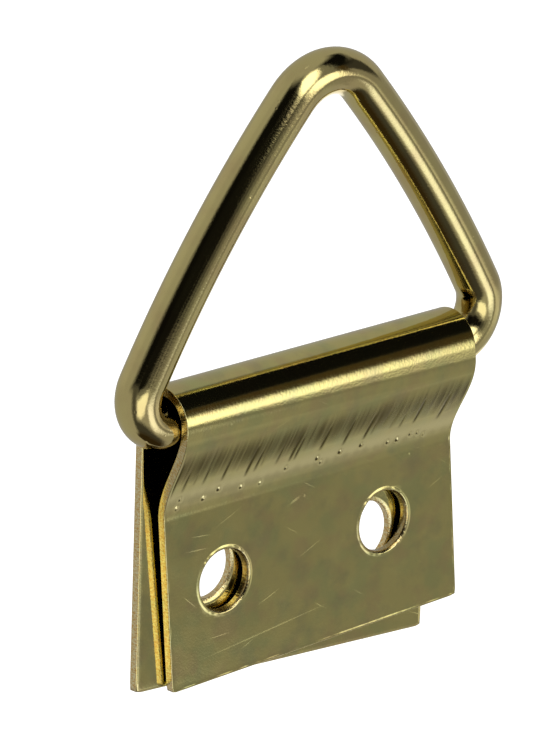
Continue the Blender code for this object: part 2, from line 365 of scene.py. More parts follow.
PRESS_MARKS = (
    # share across the strip, shares of the joggle's height at the mark's top and foot, share of depth
    (0.006, 0.31, 0.735, 0.9), (0.045, 0.40, 0.705, 0.6), (0.078, 0.44, 0.655, 0.4),
    (0.112, 0.41, 0.675, 0.6), (0.178, 0.38, 0.695, 0.8), (0.222, 0.44, 0.635, 0.3),
    (0.261, 0.35, 0.725, 1.0), (0.289, 0.40, 0.695, 0.7), (0.306, 0.43, 0.655, 0.4),
    (0.362, 0.39, 0.685, 0.6), (0.409, 0.35, 0.695, 1.0), (0.426, 0.38, 0.695, 0.8),
    (0.512, 0.37, 0.665, 1.0), (0.594, 0.36, 0.685, 0.9), (0.666, 0.37, 0.685, 1.0),
    (0.687, 0.40, 0.645, 0.5), (0.720, 0.38, 0.605, 0.5), (0.752, 0.43, 0.635, 0.4),
    (0.789, 0.46, 0.665, 0.5), (0.838, 0.36, 0.655, 1.0), (0.927, 0.37, 0.685, 0.9),
)
MARK_BURRS = (
    # share across the strip, share of the joggle's height, share of height
    (0.041, 0.87, 0.7), (0.048, 0.78, 0.6), (0.130, 0.84, 1.0), (0.178, 0.78, 0.9),
    (0.258, 0.83, 0.8), (0.325, 0.85, 0.7), (0.407, 0.76, 0.8), (0.515, 0.75, 1.0),
    (0.533, 0.81, 0.7), (0.594, 0.75, 1.0), (0.667, 0.74, 0.9), (0.767, 0.80, 0.8),
    (0.800, 0.80, 1.0), (0.845, 0.78, 0.7), (0.872, 0.79, 0.7), (0.897, 0.83, 0.6),
)


def press_marks(strap, radius, flat):
    """How far the press marks of the joggle's tool stand out of the sheet, and how much painted shade lies
    on it.

    A mark is a groove along the strip: a bell curve across it and a blunted sine along it, with its
    metal pushed up in a lower bell either side. A burr is a bell curve both ways. Between the marks
    the sheet is drawn into low ripples, two sines across the strip that fade out along it. Painted
    shade lies as deep as the deepest groove there, or in streaks of random depth, a blunted sine
    along them.
    """
    height = down_joggle(strap, radius, flat)
    near = np.flatnonzero((height > MARKS_TOP_SHARE) & (height < 1.0))
    height, across = height[near], flat[near, 0] / strap.width + 0.5
    raised, shade_near = np.zeros((2, len(near)))
    lean = math.tan(strap.mark_lean) * joggle_run(strap, radius) / strap.width
    wide = strap.mark_width / strap.width / 2
    for place, top, foot, depth in PRESS_MARKS:
        aside = (across - place + lean * (height - foot)) / wide
        groove = np.exp(-aside * aside)
        beside = PUSHED_UP * np.exp(-((np.abs(aside) - PUSHED_ASIDE) ** 2))
        fade = depth * np.sin(math.pi * share_of_way(height, top, foot)) ** GROOVE_POWER
        raised -= strap.mark_depth * fade * (groove - beside)
        # Painted shade down the groove, following its depth
        shade_near = np.maximum(shade_near, np.minimum(GROOVE_SHADE * fade * groove, 1.0))
    burr_wide = strap.burr_width / strap.width / 2
    burr_tall = strap.burr_width / joggle_run(strap, radius) / 2
    for place, level, tall in MARK_BURRS:
        reach = ((across - place) / burr_wide) ** 2 + ((height - level) / burr_tall) ** 2
        raised += strap.burr_height * tall * np.exp(-reach)
    # Painted shade in streaks of random depth across the marks' band
    streaks = np.random.default_rng(STREAK_SEED).random(STREAKS)
    streak = np.interp((across + lean * height) * STREAKS, np.arange(STREAKS), streaks)
    streak = BETWEEN_STREAKS + (1.0 - BETWEEN_STREAKS) * streak
    band = share_of_way(height, SHADED_TOP_SHARE, SHADED_FOOT_SHARE)
    shade_near = np.maximum(shade_near, np.sin(math.pi * band) ** STREAK_POWER * streak)
    fade = np.sin(math.pi * share_of_way(height, MARKS_TOP_SHARE, 1.0)) ** 2
    turn = 2 * math.pi * across
    ripple = np.sin(RIPPLES * turn + 1.0) + FINE_RIPPLE_SHARE * np.sin(FINE_RIPPLES * turn)
    raised += strap.ripple * fade * ripple
    out, mark_shade = np.zeros((2, len(flat)))
    out[near], mark_shade[near] = raised, shade_near
    return out, mark_shade


def hole_reach(strap):
    """From a hole's centre to where its lip begins: the hole, its rolled edge and the lip."""
    return strap.hole / 2 + strap.hole_roll_over + strap.lip_width


def hole_block(strap):
    """Half the side of the square block round a hole, a margin beyond its lip."""
    return hole_reach(strap) + strap.hole_margin


def strip_rows(strap, radius):
    """List the strip's bands from the front leaf's end to the back leaf's.

    Each band is its first and last place along the strip, its rows, how far its first and last row
    are turned to lie along the bar, its refinement, and the leaf whose holes it holds. The front
    end's row is turned by the slant instead, as a share of the skew.
    """
    quarter = radius * math.pi / 2 / math.cos(strap.skew)
    block = hole_block(strap)
    inset = strap.roll_over + strap.lip_width
    slant = math.tan(strap.front_slant) / math.tan(strap.skew)
    joggle = joggle_run(strap, radius) / math.cos(strap.skew)
    slack = joggle - strap.joggle_end / math.cos(strap.skew)
    front_end = -(quarter + strap.front_leaf + slack) + inset
    back_end = quarter + strap.front_leaf + strap.overhang - inset
    front_holes = quarter + strap.hole_level + slack
    holes = quarter + strap.hole_level
    marks_low = quarter + joggle + strap.hole_roll_over
    marks_high = quarter + joggle * MARKS_TOP_SHARE
    return [
        (front_end, -front_holes - block, 18, slant, 0, 1, None),
        (-front_holes - block, -front_holes + block, 26, 0, 0, 1, "front"),
        (-front_holes + block, -marks_low, 8, 0, 1, 1, None),
        (-marks_low, -marks_high, 52, 1, 1, MARK_REFINEMENT, None),
        (-marks_high, -quarter, 16, 1, 1, 1, None),
        (-quarter, quarter, 44, 1, 1, 1, None),
        (quarter, holes - block, 10, 1, 0, 1, None),
        (holes - block, holes + block, 26, 0, 0, 1, "back"),
        (holes + block, back_end, 10, 0, 0, 1, None),
    ]


def column_places(strap, radius, along, refinement):
    """Places across the strip of one row's columns.

    The columns keep to both edges and to square blocks round the holes, which lie a little further
    right in the back leaf, so the blocks slide across as the row goes over the knuckle.
    """
    quarter = radius * math.pi / 2 / math.cos(strap.skew)
    over = min(max((along / quarter + 1) / 2, 0.0), 1.0)
    middle = strap.hole_front + (strap.hole_back - strap.hole_front) * over
    block = hole_block(strap)
    half = strap.width / 2 - strap.roll_over - strap.lip_width
    left, right = middle - strap.spacing / 2, middle + strap.spacing / 2
    stops = [-half, left - block, left + block, right - block, right + block, half]
    runs = [
        np.linspace(stops[i], stops[i + 1], count * refinement + 1)[:-1]
        for i, count in enumerate(COLUMN_COUNTS)
    ]
    return np.append(np.concatenate(runs), half)


def sheet_side(strap, radius, fine):
    """Flat points, faces and edge loops of one side of the strip.

    Rows of columns are joined by quads. Where the refinement changes, each wide column meets several
    narrow ones in one face. Round each hole the block's border is drawn in to the hole in rings.
    """
    points, faces, rows, loops, count = [], [], [], {}, 0
    for first, last, steps, turned_first, turned_last, refinement, leaf in strip_rows(strap, radius):
        refinement = refinement if fine else 1
        shares = np.linspace(0.0, 1.0, steps + 1)
        for part in shares[1:] if rows else shares:
            along = first + (last - first) * part
            turned = turned_first + (turned_last - turned_first) * part
            across = column_places(strap, radius, along, refinement)
            line = along - turned * across * math.tan(strap.skew)
            points.append(np.stack([across, line], axis=1))
            rows.append((np.arange(count, count + len(across)), refinement, leaf))
            count += len(across)

    splits = np.cumsum((0,) + COLUMN_COUNTS)
    for (low, low_fine, _), (high, high_fine, leaf) in zip(rows, rows[1:]):
        if low_fine == high_fine:
            quads = np.stack([low[:-1], low[1:], high[1:], high[:-1]], axis=1)
            if leaf:
                keep = np.ones(len(quads), bool)
                keep[splits[1]:splits[2]] = False
                keep[splits[3]:splits[4]] = False
                quads = quads[keep]
            faces.append(quads)
        else:
            finer_below = low_fine > high_fine
            wide, narrow, share = (high, low, low_fine) if finer_below else (low, high, high_fine)
            many = [narrow[k:len(narrow) - share + k:share] for k in range(share, -1, -1)]
            sides = np.stack([wide[:-1], wide[1:], *many], axis=1)
            faces.append(sides[:, ::-1] if finer_below else sides)

    right_edge = np.array([row[0][-1] for row in rows])
    left_edge = np.array([row[0][0] for row in rows])
    outline = [rows[0][0][:-1], right_edge[:-1], rows[-1][0][:0:-1], left_edge[:0:-1]]
    loops["outline"] = np.concatenate(outline)

    flat = np.concatenate(points)
    for leaf, offset in (("front", strap.hole_front), ("back", strap.hole_back)):
        block_rows = [i for i, row in enumerate(rows) if row[2] == leaf]
        block_rows = [block_rows[0] - 1] + block_rows
        level = flat[[rows[block_rows[0]][0][0], rows[block_rows[-1]][0][0]], 1].mean()
        for side, start in ((-1, splits[1]), (1, splits[3])):
            end = start + COLUMN_COUNTS[1]
            low, high = rows[block_rows[0]][0], rows[block_rows[-1]][0]
            left = np.array([rows[i][0][start] for i in block_rows])
            right = np.array([rows[i][0][end] for i in block_rows])
            border = np.concatenate([low[start:end], right[:-1], high[end:start:-1], left[:0:-1]])
            centre = np.array([offset + side * strap.spacing / 2, level])
            spokes = flat[border] - centre
            rim = centre + spokes * (hole_reach(strap) / np.linalg.norm(spokes, axis=1))[:, None]
            outer = border
            for part in np.linspace(0.0, 1.0, HOLE_RINGS + 1)[1:]:
                points.append(flat[border] + (rim - flat[border]) * part)
                inner = np.arange(count, count + len(border))
                count += len(border)
                faces.append(np.stack([outer, np.roll(outer, -1), np.roll(inner, -1), inner], axis=1))
                outer = inner
            loops[f"{leaf}_{side}"] = outer[::-1]
    flat = np.concatenate(points)
    used = np.zeros(len(flat), bool)
    for group in faces:
        used[group.ravel()] = True
    renumber = np.cumsum(used) - 1
    return flat[used], [renumber[g] for g in faces], {k: renumber[v] for k, v in loops.items()}


def rim_profile(strap, roll):
    """Way round a cut edge: distance out from the face's border, height in the sheet, share of lip.

    The lip rises by a smooth step. Then come a quarter circle of the roll's radius, down which the
    lip fades by the cosine, a straight wall and a small quarter circle.
    """
    half, burr, out = strap.sheet / 2, strap.burr, strap.lip_width + roll
    climb = np.linspace(0.0, 1.0, LIP_STEPS + 1)[1:]
    first = np.linspace(0.0, math.pi / 2, ROLL_STEPS + 1)[1:]
    last = np.linspace(math.pi / 2, math.pi, BURR_STEPS + 1)[:-1]
    level = half - roll + roll * np.cos(first)
    foot = -half + burr + burr * np.cos(last)
    wall = np.linspace(level[-1], foot[0], WALL_STEPS + 1)[1:-1]
    return np.concatenate([
        (strap.lip_width * climb, np.full(LIP_STEPS, half), smooth(climb)),
        (strap.lip_width + roll * np.sin(first), level, np.cos(first)),
        (np.full(len(wall), out), wall, 0.0 * wall),
        (out - burr + burr * np.sin(last), foot, 0.0 * last),
    ], axis=1).T


def ragged_lip(strap, radius, border, full, seed):
    """Height of the lip at each point of an edge loop, a smoothed random share of its full height.

    Only the front leaf has one. It fades out by a straight line up the joggle.
    """
    shares = np.random.default_rng(seed).random(len(border))
    for _ in range(LIP_SMOOTHINGS):
        shares = (np.roll(shares, 1) + 2 * shares + np.roll(shares, -1)) / 4
    shares = np.clip(LIP_CONTRAST * shares - LIP_SUNK, 0.0, 1.0)
    return full * shares * share_of_way(down_joggle(strap, radius, border), 0.0, LIP_FADE_SHARE)


def loop_outward(places):
    """Directions away from the sheet at each point of an edge loop that has the sheet on its left."""
    ahead = np.roll(places, -1, axis=0) - np.roll(places, 1, axis=0)
    away = np.stack([ahead[:, 1], -ahead[:, 0]], axis=1)
    away /= np.linalg.norm(away, axis=1)[:, None]
    away = np.roll(away, 1, axis=0) + 2 * away + np.roll(away, -1, axis=0)
    return away / np.linalg.norm(away, axis=1)[:, None]


def whole_sheet(strap, radius):
    """The flat strip's points and faces: its two sides, and the cut edges that join them.

    Each point has its place across and along, its height in the sheet, how cut it is and its painted
    shade. A cut edge is the rim's profile carried round an edge loop, square to the loop. It counts as
    cut by its distance out past the lip, and round the front holes its painted shade is the square of that.
    """
    outer, faces, loops = sheet_side(strap, radius, True)
    inner, inner_faces, inner_loops = sheet_side(strap, radius, False)
    raised, mark_shade = press_marks(strap, radius, outer)
    half, clean = strap.sheet / 2, np.zeros(len(inner))
    bands = [
        np.column_stack([outer, half + raised, np.zeros(len(outer)), mark_shade]),
        np.column_stack([inner, clean - half, clean, clean]),
    ]
    groups = faces + [group[:, ::-1] + len(outer) for group in inner_faces]
    count = len(outer) + len(inner)
    for seed, (name, loop) in enumerate(loops.items()):
        roll, full = strap.hole_roll_over, strap.hole_lip
        if name == "outline":
            roll, full = strap.roll_over, strap.lip
        # Painted shade on the front holes' walls, which lie in the shadow of the gap between the leaves
        hole_shade = FRONT_HOLE_SHADE if name.startswith("front") else 0.0
        border = outer[loop]
        away = loop_outward(border)
        lip = ragged_lip(strap, radius, border, full, seed)
        rings = [loop]
        for distance, height, lipped in rim_profile(strap, roll):
            cut = np.full(len(loop), max(distance - strap.lip_width, 0.0) / roll)
            place = border + away * distance
            bands.append(np.column_stack([place, height + lipped * lip, cut, hole_shade * cut * cut]))
            rings.append(np.arange(count, count + len(loop)))
            count += len(loop)
        rings.append(inner_loops[name] + len(outer))
        for before, after in zip(rings, rings[1:]):
            groups.append(np.stack([before, after, np.roll(after, -1), np.roll(before, -1)], axis=1))
    return np.concatenate(bands), groups


def worked_sheet(strap, radius, sheet):
    """How the sheet was worked at each place, and how much painted shade it has.

    It is cut, as given, or stretched, or pressed. The stretch is one on the knuckle's arc and falls
    by a straight line past it. The pressing is a bell curve along the strip at the joggle's lower
    bend, burnished by the press and painted paler there as a sheen. The painted shade is the one
    given, that on the knuckle's cut ends below their rolled edge, or that on the joggle's cut
    edges, fading out below the joggle's end, whichever is the most.
    """
    flat, (height, cut, given) = sheet[:, :2], sheet[:, 2:].T
    _, run = strip_to_bar(strap, flat[:, 0], flat[:, 1])
    quarter = radius * math.pi / 2
    stretch = 1.0 - share_of_way(np.abs(run), quarter, quarter + strap.sheet)
    down = down_joggle(strap, radius, flat)
    # Bell curve at the joggle's lower bend: burnished by the press, and given a paler colour as painted
    # sheen
    pressed = np.exp(-(((down - HEEL_SHARE) / HEEL_WIDTH_SHARE) ** 2))
    inward = share_of_way(strap.sheet / 2 - height, 0.0, strap.roll_over)
    # Painted shade on the joggle's cut edges, fading out below the joggle's end
    joggle_edge_shade = EDGE_SHADE * (1.0 - share_of_way(down, EDGE_SHADE_SHARE, EDGE_UNSHADED_SHARE)) * (down > 0.0)
    # Painted shade: the given one, that on the knuckle's cut ends below their rolled edge, or that on the
    # joggle's cut edges
    painted_shade = np.maximum(given, cut * np.maximum(KNUCKLE_SHADE * stretch * inward, joggle_edge_shade))
    return np.stack([cut, stretch, pressed], axis=1), painted_shade


class HANGER_OT_strap(bpy.types.Operator):
    """Fold the punched strip over the bar"""

    bl_idname = "hanger.add_strap"
    bl_label = "Folded strap"

    def execute(self, context):
        strap = context.scene.hanger_strap
        radius = fold_radius(strap, context.scene.hanger_ring.wire)
        sheet, faces = whole_sheet(strap, radius)
        x, run = strip_to_bar(strap, sheet[:, 0], sheet[:, 1])
        points = fold(strap, radius, x, run, sheet[:, 2]) + knuckle_centre(strap)
        item = new_mesh("plated_strap", points, faces)
        store(item, "strip", sheet[:, :3] / MM)
        worked, painted_shade = worked_sheet(strap, radius, sheet)
        store(item, "worked", worked)
        store(item, "painted_shade", painted_shade)
        item.data.materials.append(sheet_plating(context.scene.hanger_looks))
        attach(item, "strap")
        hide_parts("folded_strap")
        return {"FINISHED"}


def arc(start, heading, radius, turn, steps):
    """Follow a clockwise arc: its points after the first, and the heading at its end.

    Each point lies a radius to the left of its own heading from the arc's centre.
    """
    centre = start + radius * np.array([math.sin(heading), -math.cos(heading)])
    headings = heading - np.linspace(0.0, turn, steps + 1)[1:]
    points = centre + radius * np.stack([-np.sin(headings), np.cos(headings)], axis=1)
    return points, heading - turn


CORNER_STEPS, LEG_STEPS, BAR_POINTS = 48, 60, 12
WIRE_SIDES, END_STEPS = 64, 6


def ring_round(ring, bar_left, left_leg, right_leg):
    """Walk the five bends from the bar's left end over the apex and back down to the bar's line."""
    left_start = ring.base + ring.curve_left / 2
    right_end = ring.base + ring.curve_right / 2
    apex_turn = 2 * ring.base - ring.curve_left / 2 - ring.curve_right / 2
    bends = [
        (ring.corner_left, math.pi - left_start, CORNER_STEPS),
        (left_leg / ring.curve_left, ring.curve_left, LEG_STEPS),
        (ring.apex, apex_turn, CORNER_STEPS),
        (right_leg / ring.curve_right, ring.curve_right, LEG_STEPS),
        (ring.corner_right, math.pi - right_end, CORNER_STEPS),
    ]
    points = [np.array([[bar_left, 0.0]])]
    heading = math.pi
    for radius, turn, steps in bends:
        bend, heading = arc(points[-1][-1], heading, radius, turn, steps)
        points.append(bend)
    return np.vstack(points)


def ring_path(strap, ring):
    """The wire's middle line in the ring's own plane, from the seam round to the seam.

    Where the round ends depends linearly on the two legs' lengths, so two equations close the ring.
    """
    quarter = fold_radius(strap, ring.wire) * math.pi / 2 / math.cos(strap.skew)
    half_width = strap.width / 2 / math.cos(strap.skew)
    back_middle, _ = strip_to_bar(strap, 0.0, quarter)
    front_middle, _ = strip_to_bar(strap, 0.0, -quarter)
    bar_left = back_middle - half_width + ring.entry_left
    bar_right = front_middle + half_width - ring.entry_right
    bare = ring_round(ring, bar_left, 0.0, 0.0)[-1]
    left_pull = (ring_round(ring, bar_left, ring.wire, 0.0)[-1] - bare) / ring.wire
    right_pull = (ring_round(ring, bar_left, 0.0, ring.wire)[-1] - bare) / ring.wire
    legs = np.linalg.solve(np.stack([left_pull, right_pull], axis=1), np.array([bar_right, 0.0]) - bare)
    bends = ring_round(ring, bar_left, *legs)
    seam = (bar_left + bar_right) / 2
    first = np.linspace(seam - ring.end_gap / 2, bar_left, BAR_POINTS)[:-1]
    last = np.linspace(bar_right, seam + ring.end_gap / 2, BAR_POINTS)[1:]
    return np.vstack([np.column_stack([first, 0.0 * first]), bends, np.column_stack([last, 0.0 * last])])


def wire_surface(path, radius, end_round):
    """Carry a circle along a plane path, square to it, and round its two ends over.

    A point is the path's point, plus the reach times the cosine of its angle along the path's left
    normal, plus the reach times the sine across the plane. Near the ends the reach and the place
    both follow a quarter circle, and a fan closes the flat that is left.
    """
    ahead = np.gradient(path, axis=0)
    ahead /= np.linalg.norm(ahead, axis=1)[:, None]
    bend = np.linspace(0.0, math.pi / 2, END_STEPS + 1)
    inset = end_round * (1 - np.cos(bend))
    narrow = radius - end_round * (1 - np.sin(bend))
    centres = np.vstack([
        path[0] + ahead[0] * inset[:, None], path[1:-1], path[-1] - ahead[-1] * inset[::-1, None]
    ])
    forward = np.vstack([
        np.tile(ahead[0], (END_STEPS + 1, 1)), ahead[1:-1], np.tile(ahead[-1], (END_STEPS + 1, 1))
    ])
    reach = np.concatenate([narrow, np.full(len(path) - 2, radius), narrow[::-1]])

    around = np.linspace(0.0, 2 * math.pi, WIRE_SIDES, endpoint=False)
    left = np.column_stack([-forward[:, 1], forward[:, 0]])
    beside = reach[:, None] * np.cos(around)
    depth = reach[:, None] * np.sin(around)
    grid = np.stack([
        centres[:, :1] + beside * left[:, :1], depth, centres[:, 1:] + beside * left[:, 1:]
    ], axis=-1)
    travelled = np.concatenate([[0.0], np.cumsum(np.linalg.norm(np.diff(centres, axis=0), axis=1))])
    own = np.stack([np.broadcast_to(travelled[:, None], beside.shape), beside, depth], axis=-1)

    numbers, next_side, quads = closed_grid(beside.shape)
    first_fan = np.stack([np.full(WIRE_SIDES, numbers.size), numbers[0], next_side[0]], axis=1)
    last_fan = np.stack([np.full(WIRE_SIDES, numbers.size + 1), next_side[-1], numbers[-1]], axis=1)
    poles = np.column_stack([centres[[0, -1], 0], [0.0, 0.0], centres[[0, -1], 1]])
    points = np.vstack([grid.reshape(-1, 3), poles])
    wire = np.vstack([own.reshape(-1, 3), [[0.0, 0.0, 0.0], [travelled[-1], 0.0, 0.0]]])
    return points, [quads, first_fan, last_fan], wire


class HANGER_OT_ring(bpy.types.Operator):
    """Bend the round wire into the ring"""

    bl_idname = "hanger.add_ring"
    bl_label = "Triangle ring"

    def execute(self, context):
        strap = context.scene.hanger_strap
        ring = context.scene.hanger_ring
        flat, faces, wire = wire_surface(ring_path(strap, ring), ring.wire / 2, ring.end_round)
        lean_sin, lean_cos = math.sin(ring.lean), math.cos(ring.lean)
        points = np.column_stack([
            flat[:, 0],
            flat[:, 1] * lean_cos - flat[:, 2] * lean_sin,
            flat[:, 1] * lean_sin + flat[:, 2] * lean_cos,
        ])
        item = new_mesh("plated_ring", points + np.array(BAR_AXIS), faces)
        store(item, "wire", wire / MM)
        item.data.materials.append(wire_plating(context.scene.hanger_looks))
        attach(item, "ring")
        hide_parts("triangle_ring")
        return {"FINISHED"}


def add_node(tree, kind, inputs=None, **settings):
    """Add a shader node, set its settings, and give each input a value or link it to a source.

    A node given as a source stands for its first output. A colour is given as red, green and blue.
    """
    node = tree.nodes.new("ShaderNode" + kind)
    for key, value in settings.items():
        setattr(node, key, value)
    for key, source in (inputs or {}).items():
        if isinstance(source, bpy.types.Node):
            source = source.outputs[0]
        if isinstance(source, bpy.types.NodeSocket):
            tree.links.new(source, node.inputs[key])
        elif node.inputs[key].type == "RGBA":
            node.inputs[key].default_value = (*source, 1.0)
        else:
            node.inputs[key].default_value = source
    return node


def bare_tree(holder):
    """Give a material or a world an empty node tree."""
    holder.use_nodes = True
    holder.node_tree.nodes.clear()
    return holder.node_tree


def start_plating(name):
    """Start a polished plating's material, a full metal."""
    material = bpy.data.materials.new(name)
    material.use_nodes = True
    material.node_tree.nodes["Principled BSDF"].inputs["Metallic"].default_value = 1.0
    return material, material.node_tree


def finish_plating(tree, tone, rough, reliefs):
    """Join a plating's tone and roughness to its shader, and its reliefs, one over another.

    A relief is its pattern, its height in millimetres and how much of it shows.
    """
    shader = tree.nodes["Principled BSDF"]
    below = {}
    for pattern, height, shown in reliefs:
        inputs = {"Height": pattern, "Distance": height * MM, "Strength": shown}
        below = {"Normal": add_node(tree, "Bump", {**inputs, **below}).outputs[0]}
    tree.links.new(tone, shader.inputs["Base Color"])
    tree.links.new(rough, shader.inputs["Roughness"])
    tree.links.new(below["Normal"], shader.inputs["Normal"])


# Roughness where the plating is smoothest and where it is dullest, as shares of its usual level
SMOOTHEST, DULLEST = 0.7, 1.5
HAND_SCRATCHES = (
    # in millimetres on the flat strip: start across and along, end across and along, half width
    (-7.1, -13.5, 1.6, -13.0, 0.04), (-3.4, -12.0, -1.8, -11.5, 0.03),
    (-7.4, -10.3, -6.6, -11.1, 0.03), (-6.9, -7.8, -5.6, -8.0, 0.03),
    (-7.2, -8.4, -5.8, -8.55, 0.03), (-6.2, -12.65, -4.7, -12.7, 0.03),
    (-1.25, -7.95, -0.5, -7.7, 0.08), (-0.4, -7.78, -0.25, -7.78, 0.08),
    (-5.85, -2.1, -5.7, -2.1, 0.08), (5.7, -7.6, 5.85, -7.6, 0.08),
)


def sheet_plating(looks):
    """Bright brass plating over pressed sheet steel.

    Rolled sheet keeps a fine grain under thin plating, so highlights break into sparkles. Handling
    leaves soft stains of green, brown and grey, hairline scratches and a few bright dents. The cut
    edges are torn across the sheet and coarser, so they glitter.
    """
    material, tree = start_plating("bright_brass_plated_pressed_sheet")
    place = add_node(tree, "Attribute", attribute_name="strip").outputs["Vector"]
    worked = add_node(tree, "Attribute", attribute_name="worked").outputs["Vector"]
    painted_shade = add_node(tree, "Attribute", attribute_name="painted_shade").outputs["Fac"]
    cut, stretched, pressed = add_node(tree, "SeparateXYZ", {0: worked}).outputs

    # Stains, each a soft cloud of one tint, 1 to 2 mm across: its shift and size in millimetres, the
    # noise levels at which it begins and is full, its tint and its strength
    tints = []
    for shift, size, low, high, tint, strength in (
        (3.0, 1.6, 0.42, 0.66, looks.sheet_green, 0.55),
        (17.0, 1.4, 0.46, 0.68, looks.sheet_brown, 0.5),
        (29.0, 1.2, 0.48, 0.72, looks.sheet_grey, 0.35),
    ):
        shifted = add_node(tree, "VectorMath", {0: place, 1: (shift, shift, 0.0)})
        cloud = add_node(
            tree, "TexNoise", {"Vector": shifted, "Scale": 1 / size, "Detail": 3.0, "Roughness": 0.55}
        )
        mask = add_node(
            tree, "MapRange", {"Value": cloud, "From Min": low, "From Max": high, "To Max": strength},
            interpolation_type="SMOOTHSTEP",
        )
        tints.append((mask, tint))

    # Hairline scratches in two directions, 0.04 mm wide and drawn as wide as a pixel, then the
    # scratches and dents of handling, each bright along its middle
    scratches = []
    for turn, pitch, reach, shift in ((0.35, 0.12, 4.0, 5.0), (-0.6, 0.15, 2.6, 11.0)):
        lay = {"Location": (shift, shift, 0.0), "Rotation": (0.0, 0.0, turn), "Scale": (reach, pitch, 1.0)}
        lay = add_node(tree, "Mapping", {"Vector": place, **lay}, vector_type="TEXTURE")
        lines = add_node(tree, "TexNoise", {"Vector": lay, "Scale": 1.0, "Detail": 1.0})
        scratches.append(add_node(tree, "MapRange", {"Value": lines, "From Min": 0.76, "From Max": 0.86}))
    for start_across, start_along, end_across, end_along, width in HAND_SCRATCHES:
        across, along = end_across - start_across, end_along - start_along
        lay = {
            "Location": ((start_across + end_across) / 2, (start_along + end_along) / 2, 0.0),
            "Rotation": (0.0, 0.0, math.atan2(along, across)),
            "Scale": (math.hypot(across, along) / 2, width, 1.0),
        }
        lay = add_node(tree, "Mapping", {"Vector": place, **lay}, vector_type="TEXTURE")
        line = add_node(tree, "TexGradient", {"Vector": lay}, gradient_type="SPHERICAL").outputs["Fac"]
        scratches.append(add_node(tree, "MapRange", {"Value": line, "From Max": 0.5, "To Max": 0.5}))
    scratch = scratches[0]
    for other in scratches[1:]:
        scratch = add_node(tree, "Math", {0: scratch, 1: other}, operation="MAXIMUM")

    # Grain 0.1 mm across, waves 1.5 mm across, and the cut edges' torn texture, 0.07 mm across
    grain = add_node(tree, "TexNoise", {"Vector": place, "Scale": 9.0, "Detail": 2.0, "Roughness": 0.6})
    waves = add_node(tree, "TexNoise", {"Vector": place, "Scale": 0.7, "Detail": 2.0, "Roughness": 0.5})
    lay = add_node(tree, "Mapping", {"Vector": place, "Scale": (14.0, 14.0, 7.0)})
    torn = add_node(tree, "TexNoise", {"Vector": lay, "Scale": 1.0, "Detail": 3.0})

    # Over the stains come the burnished band at the joggle's lower bend, painted paler as a sheen, the
    # torn cut edges' two colours, a painted highlight on their tears and painted shade in their
    # hollows, and painted shade in the press marks, round the front holes, at the knuckle's ends and
    # on the joggle's cut edges
    # Painted highlight on the torn edges' raised tears and painted shade in their hollows, following the
    # torn relief
    edge = add_node(tree, "MapRange", {"Value": torn, "From Min": 0.35, "From Max": 0.65})
    edge = add_node(tree, "Mix", {0: edge, 6: looks.edge_hollow_shade, 7: looks.edge_tear_highlight}, data_type="RGBA")
    tints += [(pressed, looks.sheet_burnish_and_sheen), (cut, edge.outputs[2]), (painted_shade, looks.sheet_painted_shade)]
    tone = looks.sheet_colour
    for mask, tint in tints:
        tone = add_node(tree, "Mix", {0: mask, 6: tone, 7: tint}, data_type="RGBA").outputs[2]

    rough = add_node(
        tree, "MapRange",
        {"Value": waves, "From Min": 0.3, "From Max": 0.7,
         "To Min": looks.sheet_roughness * SMOOTHEST, "To Max": looks.sheet_roughness * DULLEST},
    )
    rough = add_node(tree, "Math", {0: scratch, 1: 0.30, 2: rough}, operation="MULTIPLY_ADD")
    for mask, roughness in ((stretched, 0.09), (pressed, 0.13), (painted_shade, 0.35), (cut, 0.18)):
        rough = add_node(tree, "Mix", {0: mask, 2: rough, 3: roughness})
    finish_plating(tree, tone, rough.outputs[0], (
        (waves, 0.004, 1.0), (grain, 0.0014, 1.0), (grain, 0.0010, stretched), (scratch, -0.001, 1.0),
        (torn, 0.016, cut),
    ))
    return material


def wire_plating(looks):
    """Bright brass plating over drawn steel wire.

    The die leaves faint streaks along the wire, and thin plating over them has a fine grain, so
    the borders of its reflections are granular. Small dents and pits show as bright and dark dots.
    """
    material, tree = start_plating("bright_brass_plated_drawn_wire")
    place = add_node(tree, "Attribute", attribute_name="wire").outputs["Vector"]

    # Brown stains 2 mm across
    cloud = add_node(tree, "TexNoise", {"Vector": place, "Scale": 0.6, "Detail": 3.0, "Roughness": 0.6})
    mask = add_node(tree, "MapRange", {"Value": cloud, "From Min": 0.42, "From Max": 0.68, "To Max": 0.7})
    tone = add_node(tree, "Mix", {0: mask, 6: looks.wire_colour, 7: looks.wire_stain}, data_type="RGBA")

    # Grain 0.1 mm across, streaks 0.15 mm wide and 3 mm long, and dents 0.1 mm across
    grain = add_node(tree, "TexNoise", {"Vector": place, "Scale": 8.0, "Detail": 2.0, "Roughness": 0.6})
    drawn = add_node(tree, "Mapping", {"Vector": place, "Scale": (0.35, 7.0, 7.0)})
    streaks = add_node(tree, "TexNoise", {"Vector": drawn, "Scale": 1.0, "Detail": 2.0})
    dots = add_node(tree, "TexVoronoi", {"Vector": place, "Scale": 1.4})
    dents = add_node(
        tree, "MapRange",
        {"Value": dots, "From Min": 0.03, "From Max": 0.10, "To Min": 1.0, "To Max": 0.0},
        interpolation_type="SMOOTHSTEP",
    )
    rough = add_node(
        tree, "MapRange",
        {"Value": streaks, "From Min": 0.3, "From Max": 0.7,
         "To Min": looks.wire_roughness * SMOOTHEST, "To Max": looks.wire_roughness * DULLEST},
    )
    finish_plating(tree, tone.outputs[2], rough.outputs[0], (
        (streaks, 0.0007, 1.0), (grain, 0.003, 1.0), (dents, -0.003, 1.0),
    ))
    return material


